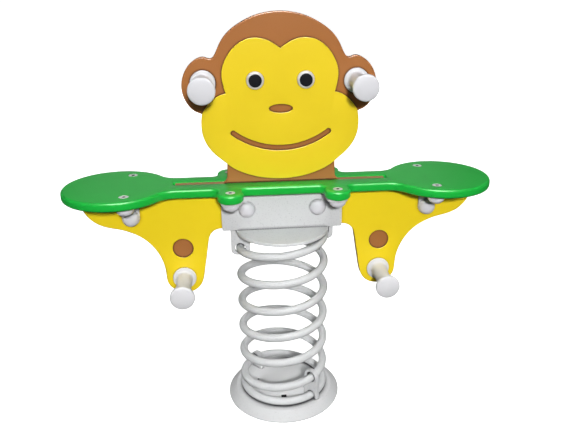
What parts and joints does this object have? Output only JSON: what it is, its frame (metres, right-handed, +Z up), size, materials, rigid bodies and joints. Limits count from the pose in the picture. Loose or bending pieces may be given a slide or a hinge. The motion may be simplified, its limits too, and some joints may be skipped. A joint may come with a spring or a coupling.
{
  "type": "spring see-saw",
  "caption": "Two-seat spring see-saw with a flat animal-face panel, a long seat board, hand grips, foot grips and a coil spring on a round base.",
  "frame": {"origin": "centre of the round base on the ground", "axes": "+Z up, +X along the seat board, -Y towards the front"},
  "size_m": [0.892, 0.258, 0.8575],
  "materials": {
    "brown_hdpe": "satin",
    "yellow_hdpe": "satin",
    "green_hdpe": "satin",
    "white_plastic": "gloss",
    "black_plastic": "gloss",
    "grey_plastic": "satin",
    "spring_paint": "satin",
    "galvanised_steel": "satin",
    "zinc_steel": "satin"
  },
  "bodies": {
    "base": {"base_cone": "galvanised_steel", "base_plate": "galvanised_steel", "anchor_nuts": "zinc_steel", "lower_clamp_front": "galvanised_steel", "lower_clamp_rear": "galvanised_steel"},
    "spring": {"coil_spring": "spring_paint"},
    "rocker": {"bracket_bolt_caps": "grey_plastic", "bracket_bolt_nuts": "zinc_steel", "bracket_bolt_washers": "zinc_steel", "bracket_bolts": "zinc_steel", "bracket_front": "galvanised_steel", "bracket_rear": "galvanised_steel", "ear_handle_front_left": "grey_plastic", "ear_handle_front_right": "grey_plastic", "ear_handle_rear_left": "grey_plastic", "ear_handle_rear_right": "grey_plastic", "eye_pupils": "black_plastic", "eye_whites": "white_plastic", "face_panel": "brown_hdpe", "face_skin_front": "yellow_hdpe", "face_skin_rear": "yellow_hdpe", "footrest_front_left": "grey_plastic", "footrest_front_right": "grey_plastic", "footrest_rear_left": "grey_plastic", "footrest_rear_right": "grey_plastic", "footrest_rods": "zinc_steel", "handle_rods": "zinc_steel", "leg_skin_front": "yellow_hdpe", "leg_skin_rear": "yellow_hdpe", "lobe_bolt_caps": "grey_plastic", "lobe_bolt_nuts": "zinc_steel", "lobe_bolts": "zinc_steel", "seat_angle_front_left": "galvanised_steel", "seat_angle_front_right": "galvanised_steel", "seat_angle_rear_left": "galvanised_steel", "seat_angle_rear_right": "galvanised_steel", "seat_board": "green_hdpe", "seat_bolt_caps": "grey_plastic", "seat_bolt_nuts": "zinc_steel", "seat_bolts": "zinc_steel", "seat_panel_bolt_caps": "grey_plastic", "seat_panel_bolt_nuts": "zinc_steel", "seat_panel_bolt_washers": "zinc_steel", "seat_panel_bolts": "zinc_steel", "top_clamp_left": "galvanised_steel", "top_clamp_right": "galvanised_steel", "top_disc": "galvanised_steel"}
  },
  "joints": [
    {"name": "rock", "type": "hinge", "parent": "base", "child": "spring", "pos_m": [0, 0, 0.195], "axis": [0, 1, 0], "range_deg": [-20, 20], "stiffness_Nm_per_rad": 600, "deforming": ["coil_spring"]},
    {"name": "sway", "type": "hinge", "parent": "spring", "child": "rocker", "pos_m": [0, 0, 0.333], "axis": [1, 0, 0], "range_deg": [-8, 8], "stiffness_Nm_per_rad": 700, "deforming": ["coil_spring"]}
  ]
}
